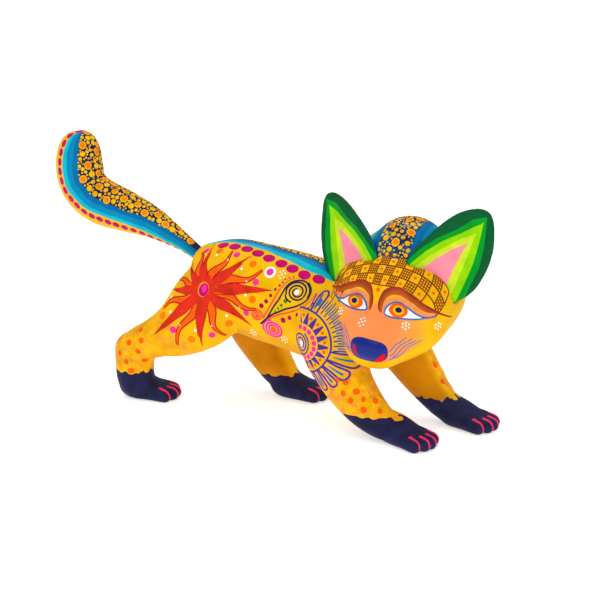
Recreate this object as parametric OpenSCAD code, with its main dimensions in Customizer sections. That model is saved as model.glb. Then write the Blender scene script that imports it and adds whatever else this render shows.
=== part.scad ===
// Carved and painted wooden fox figure, in the way of a copal-wood folk carving.
// Blocks of soft wood are carved, joined with glued dowels, filled and painted;
// the ears and the tail plug in on round pegs and pull off.
// +X is the way the body faces, +Y its left, +Z up. The soles stand on Z = 0.

/* [Body] */
// Length of the trunk, from rump to chest
trunk_length = 118; // [110:1:126]
// Width of the trunk across the ribs
trunk_width = 50; // [46:1:54]
// Height of the back above the soles
back_height = 98; // [94:1:102]

/* [Legs] */
// Distance between the left and right paws
stance = 45; // [42:1:48]
// Length of a paw from heel to toes
paw_length = 37; // [34:1:40]
// Width of a paw across the toes
paw_width = 23; // [21:1:25]

/* [Head] */
// Width of the head across the cheeks
head_width = 77; // [73:1:80]
// Turn of the head to the right of the body
head_turn = 90; // [84:1:94]
// Drop of the muzzle below level
head_drop = 6; // [3:1:9]

/* [Ears] */
// Length of an ear above the skull
ear_length = 50; // [46:1:54]
// Width of an ear at its widest
ear_width = 40; // [37:1:42]

/* [Tail] */
// Thickness of the tail at its brush, front to back
brush_depth = 30; // [27:1:32]

/* [Pegs and dowels] */
// Diameter of the dowels that hold the legs
leg_dowel = 8; // [7:0.5:9]
// Diameter of the dowel in the neck
neck_dowel_d = 10; // [9:0.5:11]
// Diameter of the pegs under the ears
ear_peg = 5; // [4:0.5:5.5]
// Diameter of the peg on the tail
tail_peg_d = 5; // [4:0.5:5.5]
// Gap between a peg and the wall of its hole
peg_gap = 0.08; // [0.05:0.01:0.1]
// Gap round a part that pulls off its seat
seat_gap = 0.3; // [0.2:0.05:0.4]

/* [Hidden] */

copal = "burlywood";
yellow = "gold";
navy = "midnightblue";
green = "green";
blue = "deepskyblue";

far = 400;      // longer than the figure, for the sides of cutting blocks
round_fn = 48;  // sides of a drawn circle
sides = 24;     // points round a carved section
step = 0.4;    // distance between rings, in keys

sx = trunk_length / 118;
sy = trunk_width / 50;
sz = back_height / 98;
px = stance / 45;
hw = head_width / 77;
ew = ear_width / 40;
el = ear_length / 50;

// Shifts the whole figure so that its box is centred on the origin.
centre_shift = [16.15, 5, 0];

// ---- Section tables -------------------------------------------------------
// Each key is [x, y, z, half width, depth one way, depth the other way, squareness].
// The first depth is upward on the trunk, neck and head, forward on the legs,
// backward on the ears and downward on the tail.
TRUNK = [
    [-61 * sx, 0, 80 * sz,  7 * sy,  7,  7, 2],
    [-57 * sx, 0, 79 * sz, 15 * sy, 14, 15, 2],
    [-48 * sx, 0, 76 * sz, 21 * sy, 20, 21, 2.1],
    [-34 * sx, 0, 72 * sz, 24 * sy, 27, 26, 2.2],
    [-15 * sx, 0, 69 * sz, 25 * sy, 29, 28, 2.2],
    [  5 * sx, 0, 66 * sz, 25 * sy, 30, 28, 2.2],
    [ 25 * sx, 0, 63 * sz, 25 * sy, 30, 29, 2.2],
    [ 40 * sx, 0, 61 * sz, 23 * sy, 27, 26, 2.1],
    [ 51 * sx, 0, 61 * sz, 17 * sy, 19, 19, 2],
    [ 57 * sx, 0, 61 * sz,  7 * sy,  8,  8, 2]];

NECK = [
    [28 * sx,  2, 72 * sz, 19, 19, 20, 2],
    [42 * sx,  4, 76 * sz, 17, 18, 19, 2],
    [58 * sx,  4, 82 * sz, 17, 19, 19, 2],
    [72 * sx,  3, 88 * sz, 16, 16, 16, 2]];

RIGHT_FRONT = [
    [ 24, -14 * px, 76 * sz,  7,  9,  9, 2],
    [ 29, -16 * px, 70 * sz, 12, 16, 15, 2],
    [ 36, -19 * px, 58 * sz, 13, 21, 18, 2],
    [ 45, -21 * px, 43 * sz, 13, 19, 17.5, 2.1],
    [ 55, -22 * px, 28.5, 13, 14.5, 14.5, 2.1],
    [ 64, -22.5 * px, 19, 12, 12, 12, 2.1],
    [ 74, -22.5 * px, 11, 10, 9.5, 9.5, 2.1],
    [ 82, -22.5 * px,  6,  8,  6,  6, 2.1]];

LEFT_FRONT = [
    [ 36, 14 * px, 76 * sz,  7,  9,  9, 2],
    [ 41, 16 * px, 70 * sz, 12, 16, 15, 2],
    [ 52, 19 * px, 57 * sz, 13, 19, 18, 2],
    [ 66, 21 * px, 43 * sz, 13, 15.5, 15.5, 2.1],
    [ 76, 22 * px, 30, 12.5, 13, 13, 2.1],
    [ 86, 22.5 * px, 18.5, 11, 10, 10, 2.1],
    [ 94, 22.5 * px, 11, 9.5, 8.5, 8.5, 2.1],
    [101, 22.5 * px,  6,  8,  6,  6, 2.1]];

RIGHT_HIND = [
    [-26, -14 * px, 80 * sz,  8, 12, 12, 2],
    [-34, -16 * px, 74 * sz, 13, 21, 21, 2],
    [-45, -19 * px, 60 * sz, 14, 24, 23, 2],
    [-60, -22 * px, 47 * sz, 13.5, 18.5, 17.5, 2.1],
    [-75, -25 * px, 39.5, 12.5, 12.5, 12, 2.1],
    [-86, -27 * px, 34, 11.5, 11, 10.5, 2.1],
    [-92, -27.5 * px, 29, 10, 8, 8, 2.1]];

RIGHT_SHIN = [
    [-90, -27 * px, 40, 7, 7, 7, 2.1],
    [-90, -27 * px, 35, 11, 11.5, 11, 2.1],
    [-90, -27 * px, 24, 11.5, 11.5, 11.5, 2.1],
    [-90, -26.5 * px, 12, 11, 11, 10.5, 2.1],
    [-88, -26 * px, 5, 9, 12, 7, 2.1]];

LEFT_HIND = [
    [-37, 13 * px, 85 * sz,  5,  6,  6, 2],
    [-37, 14 * px, 82 * sz, 10, 13, 13, 2],
    [-37, 16 * px, 74 * sz, 13.5, 20, 20, 2],
    [-38, 19 * px, 60 * sz, 14, 22, 22, 2],
    [-34, 21 * px, 42 * sz, 13.5, 17, 18, 2.1],
    [-24.5, 22 * px, 24, 12, 12.5, 12.5, 2.1],
    [-15, 22 * px, 13, 10, 9.5, 10, 2.1],
    [ -9, 22 * px, 6.5,  8,  6,  6, 2.1]];

// Head sections run from the back of the skull to the nose, in the head's own frame.
HEAD = [
    [-39, 0,  8, 10 * hw, 12, 12, 2],
    [-34, 0,  7, 23 * hw, 25, 21, 2],
    [-22, 0,  4, 33 * hw, 34, 25, 2.1],
    [ -8, 0,  0, 38 * hw, 34, 24.5, 2.3],
    [  4, 0, -4, 38.3 * hw, 30, 22, 2.4],
    [ 14, 0, -8, 34 * hw, 28, 20.5, 2.4],
    [ 22, 0, -12, 27 * hw, 25, 18, 2.3],
    [ 29, 0, -15, 20 * hw, 16, 15.5, 2.3],
    [ 34, 0, -17.5, 15.5 * hw, 10, 12.5, 2.4],
    [ 37, 0, -18, 10 * hw, 6, 9, 2.3]];

// The nose is a separate rounded lump on the end of the muzzle.
NOSE = [
    [28, 0, -16,  8 * hw, 4, 4, 2.3],
    [31, 0, -16, 10.8 * hw, 6.5, 6.5, 2.5],
    [35, 0, -16.5, 11.2 * hw, 7.2, 7.2, 2.6],
    [38.5, 0, -17,  9.2 * hw, 5.7, 5.7, 2.4],
    [40, 0, -17.3, 5 * hw, 3, 3, 2]];
crown_at = [-17.5, 0, 19];  // middle of the domed crown
crown_r = 23;
toe_off = 0.37;           // sets of toes sit this far off the middle of the paw

// Ear sections run up the ear: [across, out, up, half width, back, front, squareness].
EAR = [
    [-3, 0, -13, 11.5 * ew, 5.2, 2.2, 2.2],
    [-1.5, 0, -8, 14.8 * ew, 5.6, 2.3, 2.2],
    [0.1, 0, -3, 17.3 * ew, 5.8, 2.4, 2.2],
    [1.4, 0,  3, 19.2 * ew, 5.8, 2.4, 2.2],
    [2.2, 0, 11, 20 * ew, 5.8, 2.4, 2.2],
    [2.6, 0, 21 * el, 18.2 * ew, 4.8, 2.2, 2.2],
    [2.3, 0, 32 * el, 14.2 * ew, 4, 2, 2.2],
    [1.8, 0, 40 * el, 9.8 * ew, 3.2, 1.8, 2.1],
    [2,   0, 45.5 * el, 5.6 * ew, 2.4, 1.6, 2],
    [2.2, 0, 48 * el, 1.8 * ew, 1.4, 1, 2]];

TAIL = [
    [-55, 0,  84 * sz,  4, 4, 4, 2],
    [-64, 0,  89 * sz,  4.5, 4.5, 4.5, 2],
    [-74, 0,  94.5 * sz,  5.5, 6, 5.5, 2],
    [-95, 0, 104 * sz,  8.5, 11, 9, 2],
    [-117, 0, 109.5 * sz, 10.5, 14.5, 12, 2.1],
    [-134, 0, 114 * sz, 11.5, brush_depth * 0.54, brush_depth * 0.45, 2.1],
    [-144.5, 0, 122 * sz, 12, brush_depth * 0.53, brush_depth * 0.48, 2.1],
    [-147, 0, 133 * sz, 12, brush_depth * 0.53, brush_depth * 0.5, 2.1],
    [-146, 0, 144 * sz, 11, brush_depth * 0.46, brush_depth * 0.43, 2.1],
    [-144.5, 0, 151 * sz, 8, brush_depth * 0.3, brush_depth * 0.28, 2],
    [-144, 0, 154 * sz, 3, brush_depth * 0.1, brush_depth * 0.1, 2]];

// ---- Placing values -------------------------------------------------------
head_at = [77, -8, 80 * sz];
ear_root = [2.5, 24 * hw, 15];       // left ear, in the head's frame
ear_tip = [-15, 48 * hw, 53];
ear_splay = 8;                       // turn of the ear's face to the side
ear_axis = unit(ear_tip - ear_root);
ear_sunk = 13;                       // depth of an ear's root in the skull
peg_depth = 11;                      // of an ear or tail peg in the figure
peg_hold = 14;                       // of the same peg in the ear or tail
peg_back = 1.8;                      // ear peg, behind the middle of the sections
tail_root = [-55, 0, 84 * sz];
tail_axis = unit([-9, 0, 5]);
leg_seat = 11 * sy;                  // legs are let in to the trunk as far as this
leg_dowel_length = 22;
leg_dowel_out = 12;                  // reach of a leg dowel beyond the seat
shoulder_x = [31, 45];               // right, left
shoulder_z = 58 * sz;
hip_x = [-42, -37];
hip_z = 69 * sz;
neck_from = [30, 1, 70 * sz];
neck_to = [68, -3, 80 * sz];

// ---- Helpers --------------------------------------------------------------
function unit(v) = v / norm(v);
function signed_power(v, e) = sign(v) * pow(abs(v), e);

// Point u keys along a smooth curve through every key.
function along(keys, u) =
    let (i = min(floor(u), len(keys) - 2), f = u - i,
         b = keys[i], c = keys[i + 1],
         a = i > 0 ? keys[i - 1] : 2 * b - c,
         d = i + 2 < len(keys) ? keys[i + 2] : 2 * c - b)
    0.5 * (2 * b + (c - a) * f + (2 * a - 5 * b + 4 * c - d) * f * f
        + (3 * b - a - 3 * c + d) * f * f * f);

function centre(key) = [key[0], key[1], key[2]];

// One section, square to the direction it runs in; side is the width's direction.
function ring(key, run, side) =
    let (up = unit(cross(run, side)), across = unit(cross(up, run)),
         e = 2 / key[6])
    [for (j = [0 : sides - 1])
        let (a = 360 * j / sides, s = signed_power(cos(a), e), t = signed_power(sin(a), e))
        centre(key) + across * key[3] * s + up * (t > 0 ? key[4] : key[5]) * t];

// A carved form through a table of sections. With fixed_run the sections stay parallel.
module loft(keys, side = [0, 1, 0], fixed_run = undef) {
    last = len(keys) - 1;
    rings = ceil(last / step);
    e = 0.05;
    points = [for (r = [0 : rings])
        let (u = last * r / rings, lo = max(u - e, 0), hi = min(u + e, last),
             run = fixed_run == undef
                 ? unit(centre(along(keys, hi)) - centre(along(keys, lo))) : fixed_run)
        each ring(along(keys, u), run, side)];
    walls = [for (r = [0 : rings - 1], j = [0 : sides - 1])
        let (k = (j + 1) % sides, a = r * sides)
        each [[a + j, a + sides + k, a + k], [a + j, a + sides + j, a + sides + k]]];
    first_cap = [for (j = [0 : sides - 1]) j];
    last_cap = [for (j = [sides - 1 : -1 : 0]) rings * sides + j];
    polyhedron(points, concat([first_cap], walls, [last_cap]), convexity = 6);
}

// Takes what is inside as one carved surface.
module carved() { resize([0, 0, 0]) union() children(); }

// Moves the Z axis onto axis and the Y axis towards face, at a point.
module stand_on(at, axis, face = [0, 1, 0]) {
    x = unit(cross(face, axis));
    y = cross(axis, x);
    multmatrix([[x[0], y[0], axis[0], at[0]],
                [x[1], y[1], axis[1], at[1]],
                [x[2], y[2], axis[2], at[2]]]) children();
}

module on_head() {
    translate(head_at) rotate([0, head_drop, -head_turn]) children();
}

// hand is 1 for the left ear and -1 for the right.
module on_ear(hand) {
    on_head()
        stand_on([ear_root[0], hand * ear_root[1], ear_root[2]],
                 [ear_axis[0], hand * ear_axis[1], ear_axis[2]],
                 [-cos(ear_splay), -hand * sin(ear_splay), 0])
        children();
}

module on_tail() { stand_on(tail_root, tail_axis) children(); }

module rod(d, length) { cylinder(d = d, h = length, $fn = round_fn); }

// ---- Forms before they are fitted to each other ---------------------------
module toes() {
    for (i = [-1.5 : 1 : 1.5]) {
        reach = paw_length * (abs(i) == 1.5 ? 0.335 : 0.41);
        hull() {
            translate([paw_length * 0.10, i * paw_width * 0.19 + toe_off, 5])
                sphere(d = 9.6, $fn = 18);
            translate([reach, i * paw_width * 0.24 + toe_off, 3.7])
                sphere(d = 7.6, $fn = 18);
        }
    }
}

// A paw at a point on the ground, turned by swing from straight ahead.
module paw(at, swing) {
    l = paw_length;
    w = paw_width;
    translate([at[0], at[1], 0]) rotate([0, 0, swing]) {
        loft([[-0.49 * l, 0, 9, 0.14 * w, 3, 3, 2],
              [-0.46 * l, 0, 8.5, 0.28 * w, 6, 5.5, 2],
              [-0.38 * l, 0, 8, 0.36 * w, 8.5, 7.5, 2.1],
              [-0.22 * l, 0, 7, 0.42 * w, 10, 8, 2.2],
              [ 0.05 * l, 0, 5, 0.46 * w, 7.5, 6, 2.2],
              [ 0.25 * l, 0, 4, 0.42 * w, 4.5, 5, 2.2],
              [ 0.34 * l, 0, 3.5, 0.30 * w, 3, 4.5, 2]], fixed_run = [1, 0, 0]);
        toes();
    }
}

module right_front_form() {
    loft(RIGHT_FRONT);
    paw([91, -22.5 * px], -12);
}

module left_front_form() {
    loft(LEFT_FRONT);
    paw([108, 22.5 * px], -8);
}

module right_hind_form() {
    loft(RIGHT_HIND);
    loft(RIGHT_SHIN);
    paw([-82.5, -22.5 * px], 14);
}

module left_hind_form() {
    loft(LEFT_HIND);
    paw([-3.5, 23 * px], 6);
}

module head_form() {
    on_head() {
        loft(HEAD, fixed_run = [1, 0, 0]);
        loft(NOSE, fixed_run = [1, 0, 0]);
        translate(crown_at) sphere(crown_r, $fn = 40);
    }
}

module body_form() {
    loft(TRUNK, fixed_run = [1, 0, 0]);
    loft(NECK);
}

module ear_form(hand) {
    loft([for (k = EAR) [k[0] * hand, k[1], k[2], k[3], k[4], k[5], k[6]]],
         side = [1, 0, 0], fixed_run = [0, 0, 1]);
}

// Everything between the leg seats.
module between_seats() {
    translate([-far / 2, -leg_seat, 0]) cube([far, 2 * leg_seat, far]);
}

module leg_dowel_at(i, x, z, gap = 0) {
    hand = i == 0 ? -1 : 1;
    translate([x, hand * (leg_seat + leg_dowel_out + gap), z])
        rotate([hand * 90, 0, 0])
        rod(leg_dowel + 2 * gap, leg_dowel_length + 2 * gap);
}

module shoulder_dowel(i, gap = 0) { leg_dowel_at(i, shoulder_x[i], shoulder_z, gap); }
module hip_dowel(i, gap = 0) { leg_dowel_at(i, hip_x[i], hip_z, gap); }

module neck_dowel_form(gap = 0) {
    run = unit(neck_to - neck_from);
    stand_on(neck_from - run * gap, run)
        rod(neck_dowel_d + 2 * gap, norm(neck_to - neck_from) + 2 * gap);
}

module ear_peg_form(hand, gap = 0) {
    on_ear(hand) translate([0, peg_back, -ear_sunk - peg_depth - gap])
        rod(ear_peg + 2 * gap, peg_depth + peg_hold + 2 * gap);
}

// Room for the root of the tail.
module tail_seat() {
    for (k = [0, 1]) translate(-k * seat_gap * tail_axis)
        loft([for (key = TAIL) key + [0, 0, 0, 1, 1, 1, 0] * seat_gap]);
}

module tail_peg_form(gap = 0) {
    on_tail() translate([0, 0, -peg_depth - gap])
        rod(tail_peg_d + 2 * gap, peg_depth + peg_hold + 2 * gap);
}

// Room for the root of an ear, clear all round it and all the way out.
module ear_seat(hand) {
    widest = EAR[4];
    g = seat_gap;
    keys = [for (k = EAR)
        let (w = k[2] > widest[2] ? widest : k, deeper = k == EAR[0] ? g : 0)
        [w[0] * hand, 0, k[2] - deeper, w[3] + g, w[4] + g, w[5] + g, w[6]]];
    on_ear(hand) loft(keys, side = [1, 0, 0], fixed_run = [0, 0, 1]);
}

// ---- Sub-parts ------------------------------------------------------------
module torso() {
    color(yellow) difference() {
        carved() difference() {
            body_form();
            head_form();
            for (hand = [-1, 1]) ear_seat(hand);
            leg_seat_room() right_front_form();
            leg_seat_room() right_hind_form();
            leg_seat_room() left_front_form();
            leg_seat_room() left_hind_form();
            tail_seat();
        }
        for (i = [0, 1]) {
            shoulder_dowel(i, peg_gap);
            hip_dowel(i, peg_gap);
        }
        neck_dowel_form(peg_gap);
        tail_peg_form(peg_gap);
    }
}

module head_block() {
    difference() {
        head_form();
        for (hand = [-1, 1]) ear_seat(hand);
    }
}

// A leg as far as its seat in the trunk, standing on the ground.
module leg_block() {
    intersection() {
        difference() {
            union() children();
            intersection() {
                body_form();
                between_seats();
            }
            head_form();
        }
        translate([-far / 2, -far / 2, 0]) cube(far);
    }
}

// Room in the trunk for the top of a leg.
module leg_seat_room() {
    difference() {
        union() children();
        between_seats();
    }
}

module head() {
    color(yellow) difference() {
        carved() head_block();
        for (hand = [-1, 1]) ear_peg_form(hand, peg_gap);
        neck_dowel_form(peg_gap);
    }
}

module leg() { color(yellow) carved() leg_block() children(); }

module right_front_leg() {
    difference() {
        leg() right_front_form();
        shoulder_dowel(0, peg_gap);
    }
}

module left_front_leg() {
    difference() {
        leg() left_front_form();
        shoulder_dowel(1, peg_gap);
    }
}

module right_hind_leg() {
    difference() {
        leg() right_hind_form();
        hip_dowel(0, peg_gap);
    }
}

module left_hind_leg() {
    difference() {
        leg() left_hind_form();
        hip_dowel(1, peg_gap);
    }
}

module ear(hand) {
    color(green) difference() {
        on_ear(hand) carved() ear_form(hand);
        ear_peg_form(hand, peg_gap);
    }
}

module tail() {
    color(blue) difference() {
        carved() loft(TAIL);
        tail_peg_form(peg_gap);
    }
}

translate(centre_shift) {
    torso();
    head();
    color(copal) neck_dowel_form();  // neck_dowel
    right_front_leg();
    left_front_leg();
    right_hind_leg();
    left_hind_leg();
    color(copal) shoulder_dowel(0);  // right_shoulder_dowel
    color(copal) shoulder_dowel(1);  // left_shoulder_dowel
    color(copal) hip_dowel(0);  // right_hip_dowel
    color(copal) hip_dowel(1);  // left_hip_dowel
    ear(-1);  // right_ear
    ear(1);  // left_ear
    color(copal) ear_peg_form(-1);  // right_ear_peg
    color(copal) ear_peg_form(1);  // left_ear_peg
    tail();
    color(copal) tail_peg_form();  // tail_peg
}
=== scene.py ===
"""The looks of the carved and painted fox figure, built on its CAD frame.

Lengths in this file are millimetres in the figure's design axes, unless a name ends in _M.
OFFSET takes design axes to the frame's axes, whose origin is under the middle of the box.
Angles are degrees. Right and left are the figure's own.
"""
import math
import random

import bmesh
import bpy
import numpy as np
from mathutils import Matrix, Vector, noise
from mathutils.bvhtree import BVHTree


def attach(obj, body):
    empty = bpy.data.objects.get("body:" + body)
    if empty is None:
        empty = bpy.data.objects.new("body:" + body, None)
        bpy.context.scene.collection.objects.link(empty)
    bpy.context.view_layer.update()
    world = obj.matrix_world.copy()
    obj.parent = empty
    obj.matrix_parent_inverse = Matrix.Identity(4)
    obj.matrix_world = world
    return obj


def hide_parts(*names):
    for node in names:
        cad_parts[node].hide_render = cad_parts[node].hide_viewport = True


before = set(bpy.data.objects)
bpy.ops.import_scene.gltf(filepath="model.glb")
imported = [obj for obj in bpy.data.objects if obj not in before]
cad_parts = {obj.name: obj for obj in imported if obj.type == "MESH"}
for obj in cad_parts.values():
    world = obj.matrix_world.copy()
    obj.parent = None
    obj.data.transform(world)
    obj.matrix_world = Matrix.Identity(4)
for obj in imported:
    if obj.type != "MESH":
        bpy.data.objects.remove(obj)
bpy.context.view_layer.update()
chance = random.Random(7)

MM = 0.001
OFFSET = np.array([16.15, 5.0, 0.0])
BLOCKS = ["torso", "head", "right_front_leg", "left_front_leg", "right_hind_leg", "left_hind_leg"]
DOWELS = ["neck_dowel", "right_shoulder_dowel", "left_shoulder_dowel", "right_hip_dowel",
          "left_hip_dowel"]
PLUGS = {"right_ear": "right_ear_body", "left_ear": "left_ear_body", "tail": "tail_body"}
PEGS = ["right_ear_peg", "left_ear_peg", "tail_peg"]

HEAD_AT = np.array([77.0, -8.0, 80.0])
HEAD_DROP = math.radians(6)
EAR_ROOT = np.array([2.5, 24.0, 15.0])
EAR_TIP = np.array([-15.0, 48.0, 53.0])
EAR_SPLAY = math.radians(8)
TAIL_LINE = [(-55, 84), (-64, 89), (-74, 94.5), (-95, 104), (-117, 109.5), (-134, 114),
             (-144.5, 122), (-147, 133), (-146, 144), (-144.5, 151), (-144, 154)]
TAIL_STATIONS = 400
TAIL_ROUNDS = 60   # of evening out the bends of TAIL_LINE
TRUNK_X = [-61, -48, -34, -15, 5, 25, 40, 57]
TRUNK_Z = [80, 76, 72, 69, 66, 63, 61, 61]

CAMERA_AZIMUTH = math.radians(30)     # round from straight before the right flank
CAMERA_ELEVATION = math.radians(15)
CAMERA_DISTANCE = 1100
CAMERA_TARGET = (-5, 25.1, 60)
LENS = 110
SENSOR = 36
WORLD_LIGHT = 0.61
PAPER_GLOW = 0.52


# ---- Camera, light and floor ------------------------------------------------
def to_frame(point):
    return (np.array(point, float) + OFFSET) * MM


def add_camera():
    target = Vector(to_frame(CAMERA_TARGET))
    back = Vector((math.sin(CAMERA_AZIMUTH) * math.cos(CAMERA_ELEVATION),
                   -math.cos(CAMERA_AZIMUTH) * math.cos(CAMERA_ELEVATION),
                   math.sin(CAMERA_ELEVATION)))
    data = bpy.data.cameras.new("camera")
    data.lens = LENS
    data.sensor_width = SENSOR
    data.clip_start = 0.05
    camera = bpy.data.objects.new("camera", data)
    camera.location = target + back * CAMERA_DISTANCE * MM
    camera.rotation_euler = back.to_track_quat("Z", "Y").to_euler()
    bpy.context.scene.collection.objects.link(camera)
    bpy.context.scene.camera = camera


def add_area(name, place, aim, size, power):
    data = bpy.data.lights.new(name, "AREA")
    data.shape = "DISK"
    data.size = size
    data.energy = power
    lamp = bpy.data.objects.new(name, data)
    lamp.location = place
    lamp.rotation_euler = (Vector(place) - Vector(aim)).to_track_quat("Z", "Y").to_euler()
    bpy.context.scene.collection.objects.link(lamp)


def add_lights():
    aim = (0, 0, 0.06)
    add_area("key", (0.15, -0.85, 1.0), aim, 0.9, 3.9)
    add_area("fill", (1.0, -0.3, 0.6), aim, 0.9, 1.3)
    add_area("top", (-0.1, 0.3, 1.2), aim, 1.0, 4)
    world = bpy.data.worlds.new("studio")
    world.use_nodes = True
    world.node_tree.nodes["Background"].inputs[0].default_value = (1, 1, 1, 1)
    world.node_tree.nodes["Background"].inputs[1].default_value = WORLD_LIGHT
    bpy.context.scene.world = world
    bpy.context.scene.view_settings.view_transform = "Standard"


def add_floor():
    bpy.ops.mesh.primitive_plane_add(size=14, location=(0, 0, 0))
    floor = bpy.context.object
    floor.name = "floor"
    mat = bpy.data.materials.new("floor_paper")
    mat.use_nodes = True
    shader = mat.node_tree.nodes["Principled BSDF"]
    shader.inputs["Base Color"].default_value = (0.96, 0.96, 0.95, 1)
    shader.inputs["Roughness"].default_value = 0.85
    shader.inputs["Emission Color"].default_value = (1, 1, 0.99, 1)
    shader.inputs["Emission Strength"].default_value = PAPER_GLOW
    floor.data.materials.append(mat)


# ---- Meshes as arrays -------------------------------------------------------
def mesh_points(mesh):
    """The vertices in design millimetres."""
    points = np.empty(len(mesh.vertices) * 3)
    mesh.vertices.foreach_get("co", points)
    return points.reshape(-1, 3) / MM - OFFSET


def set_points(mesh, points):
    mesh.vertices.foreach_set("co", np.ascontiguousarray((points + OFFSET) * MM).ravel())
    mesh.update()


def mesh_normals(mesh):
    normals = np.empty(len(mesh.vertices) * 3)
    mesh.vertex_normals.foreach_get("vector", normals)
    return normals.reshape(-1, 3)


def mesh_faces(mesh):
    return [tuple(p.vertices) for p in mesh.polygons]


def new_object(name, points, faces):
    """A smooth-shaded object from points in design millimetres."""
    mesh = bpy.data.meshes.new(name)
    mesh.from_pydata(((np.array(points) + OFFSET) * MM).tolist(), [], faces)
    mesh.shade_smooth()
    obj = bpy.data.objects.new(name, mesh)
    bpy.context.scene.collection.objects.link(obj)
    return obj


def add_values(mesh, name, values):
    layer = mesh.attributes.new(name, "FLOAT", "POINT")
    layer.data.foreach_set("value", np.asarray(values, np.float32))


# ---- Carved forms -----------------------------------------------------------
def joined_copy(name, nodes):
    """One new mesh holding copies of these CAD nodes."""
    bm = bmesh.new()
    for node in nodes:
        bm.from_mesh(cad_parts[node].data)
    mesh = bpy.data.meshes.new(name)
    bm.to_mesh(mesh)
    bm.free()
    obj = bpy.data.objects.new(name, mesh)
    bpy.context.scene.collection.objects.link(obj)
    return obj


def apply_modifiers(obj):
    """Makes the object's evaluated mesh its own."""
    graph = bpy.context.evaluated_depsgraph_get()
    mesh = bpy.data.meshes.new_from_object(obj.evaluated_get(graph))
    obj.modifiers.clear()
    old = obj.data
    obj.data = mesh
    bpy.data.meshes.remove(old)


def remesh(obj, voxel):
    mod = obj.modifiers.new("remesh", "REMESH")
    mod.mode = "VOXEL"
    mod.voxel_size = voxel * MM
    apply_modifiers(obj)


def smooth(obj, rounds, weight=None):
    """Evens out facets and fillets inner corners. weight is per vertex, from 0 to 1."""
    mesh = obj.data
    points = mesh_points(mesh)
    edges = np.empty(len(mesh.edges) * 2, dtype=np.int64)
    mesh.edges.foreach_get("vertices", edges)
    a, b = edges.reshape(-1, 2).T
    count = np.bincount(np.concatenate([a, b]), minlength=len(points)).astype(float)[:, None]
    w = 0.5 if weight is None else 0.5 * weight[:, None]
    for _ in range(rounds):
        total = np.empty_like(points)
        for k in range(3):
            total[:, k] = (np.bincount(a, points[b, k], len(points))
                           + np.bincount(b, points[a, k], len(points)))
        points += w * (total / count - points)
    set_points(mesh, points)


def grow(obj, distance):
    points = mesh_points(obj.data)
    set_points(obj.data, points + distance * mesh_normals(obj.data))


def knife_marks(obj, depth, size):
    """Shallow uneven flats, as a knife leaves them under the paint."""
    points = mesh_points(obj.data)
    normals = mesh_normals(obj.data)
    lift = np.array([noise.noise(Vector(p) / size) for p in points])
    set_points(obj.data, points + (depth * lift)[:, None] * normals)


def cut_away(obj, cutter):
    """Takes the cutter's room out of the object and keeps the largest part."""
    mod = obj.modifiers.new("cut", "BOOLEAN")
    mod.operation = "DIFFERENCE"
    mod.solver = "MANIFOLD"
    mod.object = cutter
    apply_modifiers(obj)
    bm = bmesh.new()
    bm.from_mesh(obj.data)
    left = set(bm.verts)
    groups = []
    while left:
        seed = left.pop()
        group = [seed]
        stack = [seed]
        while stack:
            for edge in stack.pop().link_edges:
                for other in edge.verts:
                    if other in left:
                        left.discard(other)
                        group.append(other)
                        stack.append(other)
        groups.append(group)
    groups.sort(key=len)
    for group in groups[:-1]:
        bmesh.ops.delete(bm, geom=group, context="VERTS")
    bm.to_mesh(obj.data)
    bm.free()
    obj.data.update()


# ---- Places on the figure ---------------------------------------------------
def to_head(points):
    """Design points in the head's own axes: snout forward, its left, up."""
    w = np.asarray(points, float) - HEAD_AT
    forward = -w[..., 1]
    x = forward * math.cos(HEAD_DROP) - w[..., 2] * math.sin(HEAD_DROP)
    z = forward * math.sin(HEAD_DROP) + w[..., 2] * math.cos(HEAD_DROP)
    return np.stack([x, w[..., 0], z], -1)


def head_direction(d):
    """A direction in the head's axes, in design axes."""
    x = d[0] * math.cos(HEAD_DROP) + d[2] * math.sin(HEAD_DROP)
    z = -d[0] * math.sin(HEAD_DROP) + d[2] * math.cos(HEAD_DROP)
    return np.array([d[1], -x, z])


def head_point(p):
    return HEAD_AT + head_direction(p)


def unit(v):
    v = np.asarray(v, float)
    return v / np.linalg.norm(v)


def ear_axes(hand):
    """Outward across the ear, out of its front, and up its length, in the head's axes."""
    up = unit((EAR_TIP - EAR_ROOT) * [1, hand, 1])
    back = np.array([-math.cos(EAR_SPLAY), -hand * math.sin(EAR_SPLAY), 0])
    across = unit(np.cross(back, up))
    return across * hand, unit(np.cross(across, up)), up


def tail_frame():
    """Even stations along the tail: distance, point and inner side, in x and z."""
    line = np.array(TAIL_LINE, float)
    length = np.concatenate([[0], np.cumsum(np.hypot(*np.diff(line, axis=0).T))])
    s = np.linspace(0, length[-1], TAIL_STATIONS)
    x = np.interp(s, length, line[:, 0])
    z = np.interp(s, length, line[:, 1])
    for _ in range(TAIL_ROUNDS):
        x[1:-1] = (x[:-2] + x[2:]) / 2
        z[1:-1] = (z[:-2] + z[2:]) / 2
    run = np.stack([np.gradient(x), np.gradient(z)], -1)
    run /= np.linalg.norm(run, axis=1)[:, None]
    inner = np.stack([run[:, 1], -run[:, 0]], -1)
    return s, np.stack([x, z], -1), inner


TAIL_S, TAIL_P, TAIL_IN = tail_frame()


def tail_place(points):
    """Distance along the tail and angle from its inner side, for design points."""
    flat = points[:, [0, 2]]
    nearest = np.array([np.argmin(((TAIL_P - p) ** 2).sum(1)) for p in flat])
    away = flat - TAIL_P[nearest]
    side = (away * TAIL_IN[nearest]).sum(1)
    return TAIL_S[nearest], np.degrees(np.arctan2(-points[:, 1], side))


def trunk_angle(points):
    """Angle from straight up round the trunk, growing towards the right flank."""
    middle = np.interp(points[:, 0], TRUNK_X, TRUNK_Z)
    return np.degrees(np.arctan2(-points[:, 1], points[:, 2] - middle))


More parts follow.
